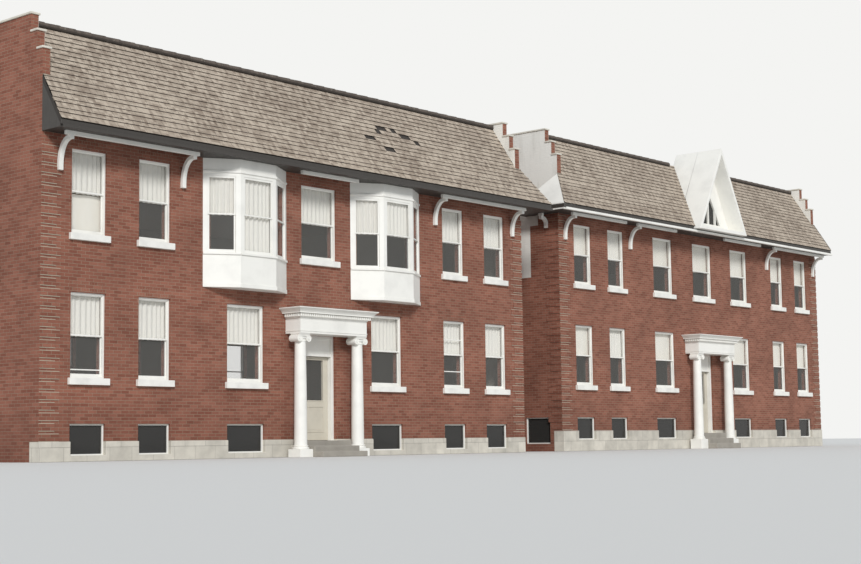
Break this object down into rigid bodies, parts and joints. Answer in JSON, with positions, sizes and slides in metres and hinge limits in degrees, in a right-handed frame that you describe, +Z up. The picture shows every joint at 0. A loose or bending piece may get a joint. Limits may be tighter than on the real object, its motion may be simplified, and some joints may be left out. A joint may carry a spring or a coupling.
{
  "type": "terraced house row",
  "caption": "Row of two-storey brick terraced houses with tiled front slopes, stepped parapets, columned entrances, canted bay windows and a steep dormer.",
  "frame": {"origin": "middle of the row's bounding box at ground level", "axes": "+X along the row to the right as seen from the street, +Y into the houses, +Z up"},
  "size_m": [36.65, 12.82, 10.486],
  "materials": {
    "brick": "rough red-brown brick in lime mortar",
    "base_stone": "weathered pale limestone",
    "coping_stone": "weathered pale stone",
    "sill_stone": "painted stone",
    "step_stone": "worn stone",
    "clay_tiles": "weathered flat clay tiles",
    "roof_felt": "mineral roofing felt",
    "floor_timber": "plain boards",
    "white_paint": "satin white oil paint on timber",
    "dark_paint": "dark oil paint on timber",
    "door_paint": "pale satin oil paint on timber",
    "window_glass": "clear window glass"
  },
  "bodies": {
    "row": {"left_front_wall_a": "brick", "left_front_wall_b": "brick", "left_wall_over_door": "brick", "right_front_wall_a": "brick", "right_front_wall_b": "brick", "right_wall_over_door": "brick", "left_rear_wall": "brick", "right_rear_wall": "brick", "left_party_wall": "brick", "left_side_wall": "brick", "right_side_wall": "brick", "right_party_wall": "brick", "stone_bases": "base_stone", "left_floors": "floor_timber", "right_floors": "floor_timber", "link_floors": "floor_timber", "entrance_lobbies": "step_stone", "flat_roofs": "roof_felt", "left_tiled_slope": "clay_tiles", "right_tiled_slope": "clay_tiles", "left_eaves": "dark_paint", "right_eaves": "white_paint", "eaves_brackets": "white_paint", "parapet_copings": "coping_stone", "bay_window_a": "white_paint", "bay_window_b": "white_paint", "bay_sashes": "white_paint", "bay_glass": "window_glass", "window_sills": "sill_stone", "front_window_frames": "white_paint", "rear_window_frames": "white_paint", "front_window_glass": "window_glass", "rear_window_glass": "window_glass", "portico_columns": "white_paint", "entablatures": "white_paint", "entrance_steps": "step_stone", "door_frames": "white_paint", "dormer_hood": "white_paint", "dormer_window": "white_paint", "dormer_glass": "window_glass", "link_walls": "brick"},
    "left_door_leaf": {"left_door": "door_paint", "left_door_glass": "window_glass"},
    "right_door_leaf": {"right_door": "door_paint", "right_door_glass": "window_glass"}
  },
  "joints": [
    {"name": "left_door_hinge", "type": "hinge", "parent": "row", "child": "left_door_leaf", "pos_m": [-9.263, -5.2578, 1.51], "axis": [0, 0, -1], "range_deg": [0, 90]},
    {"name": "right_door_hinge", "type": "hinge", "parent": "row", "child": "right_door_leaf", "pos_m": [10.167, -4.9278, 1.636], "axis": [0, 0, -1], "range_deg": [0, 90]}
  ]
}
